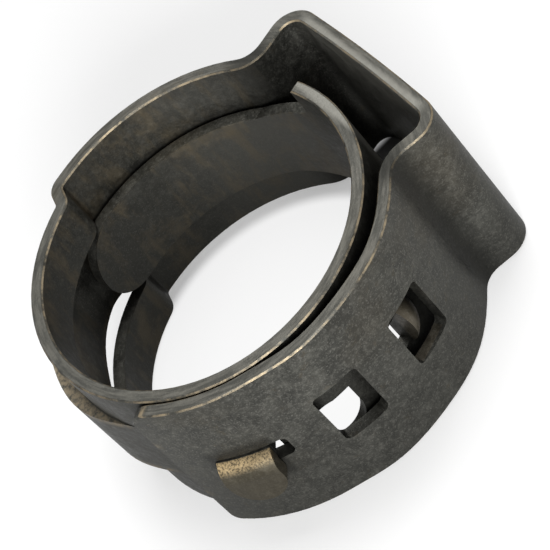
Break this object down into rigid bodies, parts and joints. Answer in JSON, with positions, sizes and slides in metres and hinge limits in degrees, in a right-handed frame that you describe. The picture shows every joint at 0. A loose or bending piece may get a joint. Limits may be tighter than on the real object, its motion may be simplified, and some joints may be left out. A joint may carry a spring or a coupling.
{
  "type": "ear hose clamp",
  "caption": "Ear hose clamp of flat steel strip with a pinch ear, interlocking hooks and windows, and an inner tongue that bridges the gap under the ear.",
  "frame": {"origin": "centre of the bore, on its axis, halfway along the width of the band", "axes": "+Z along the bore axis, +X from the axis to the middle of the ear, +Y completes the right-handed frame"},
  "size_m": [0.0207, 0.0193, 0.01],
  "materials": {
    "clamp_band": "dark satin, worn bronze along the sheared edges"
  },
  "bodies": {
    "root": {"clamp_band": "clamp_band"}
  },
  "joints": []
}
